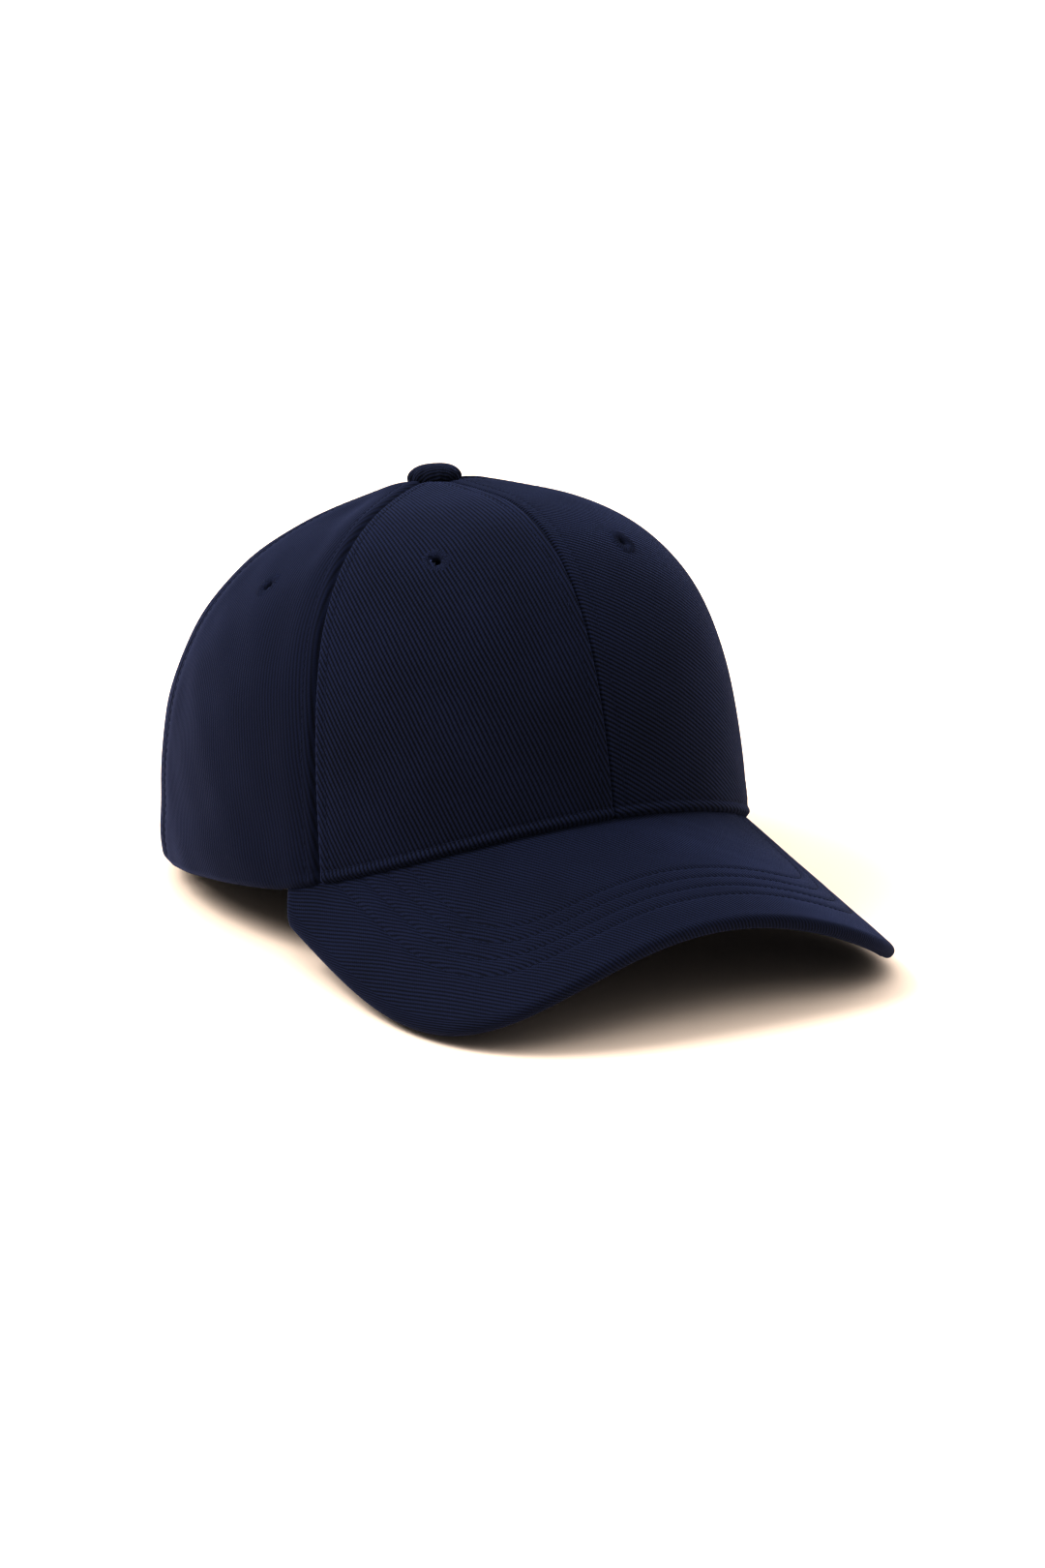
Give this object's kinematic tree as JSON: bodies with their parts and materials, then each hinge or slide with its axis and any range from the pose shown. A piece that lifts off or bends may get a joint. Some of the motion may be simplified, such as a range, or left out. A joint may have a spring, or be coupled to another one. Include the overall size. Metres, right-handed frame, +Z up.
{
  "type": "baseball cap",
  "caption": "Structured baseball cap with a curved visor, fabric button, sewn eyelets and a rear strap closed by a lever buckle.",
  "frame": {"origin": "centre of the head opening on the surface the cap rests on", "axes": "+Z up, -Y out of the front of the cap, -X to the wearer's right; the cap stands on its rear hem and the two lobes of its visor"},
  "size_m": [0.1768, 0.267, 0.135],
  "materials": {
    "navy_twill": "cotton twill",
    "buckram": "open-weave stiffened cotton",
    "tape": "flat woven tape",
    "sweatband_cotton": "fine cotton twill",
    "interlining": "non-woven felt",
    "label": "woven satin",
    "visor_board": "moulded sheet",
    "thread": "twisted sewing thread",
    "nickel": "brushed"
  },
  "bodies": {
    "cap": {"front_panel_left": "navy_twill", "front_panel_right": "navy_twill", "side_panel_left": "navy_twill", "side_panel_right": "navy_twill", "rear_panel_left": "navy_twill", "rear_panel_right": "navy_twill", "front_buckram_left": "buckram", "front_buckram_right": "buckram", "sewn_eyelets": "thread", "front_seam_tape": "tape", "front_left_seam_tape": "tape", "front_right_seam_tape": "tape", "rear_left_seam_tape": "tape", "rear_right_seam_tape": "tape", "rear_seam_tape": "tape", "sweatband": "sweatband_cotton", "sweatband_interlining": "interlining", "sweatband_binding": "tape", "care_label": "label", "visor_board": "visor_board", "visor_top_cover": "navy_twill", "visor_under_cover": "navy_twill", "button_cover": "navy_twill", "button_shell": "nickel", "button_stud": "nickel", "button_back": "nickel", "opening_binding": "navy_twill", "buckle_loop": "navy_twill", "buckle_frame": "nickel", "buckle_pin": "nickel"},
    "strap": {"closure_strap": "navy_twill"},
    "lever": {"buckle_lever": "nickel"}
  },
  "joints": [
    {"name": "strap_slide", "type": "hinge", "parent": "cap", "child": "strap", "pos_m": [0, 0.0371, 0.02386], "axis": [0, 0.1599, 0.9871], "range_deg": [-12, 10]},
    {"name": "lever_pivot", "type": "hinge", "parent": "cap", "child": "lever", "pos_m": [-0.01444, 0.11046, 0.01198], "axis": [0, -0.1599, -0.9871], "range_deg": [0, 100]}
  ]
}
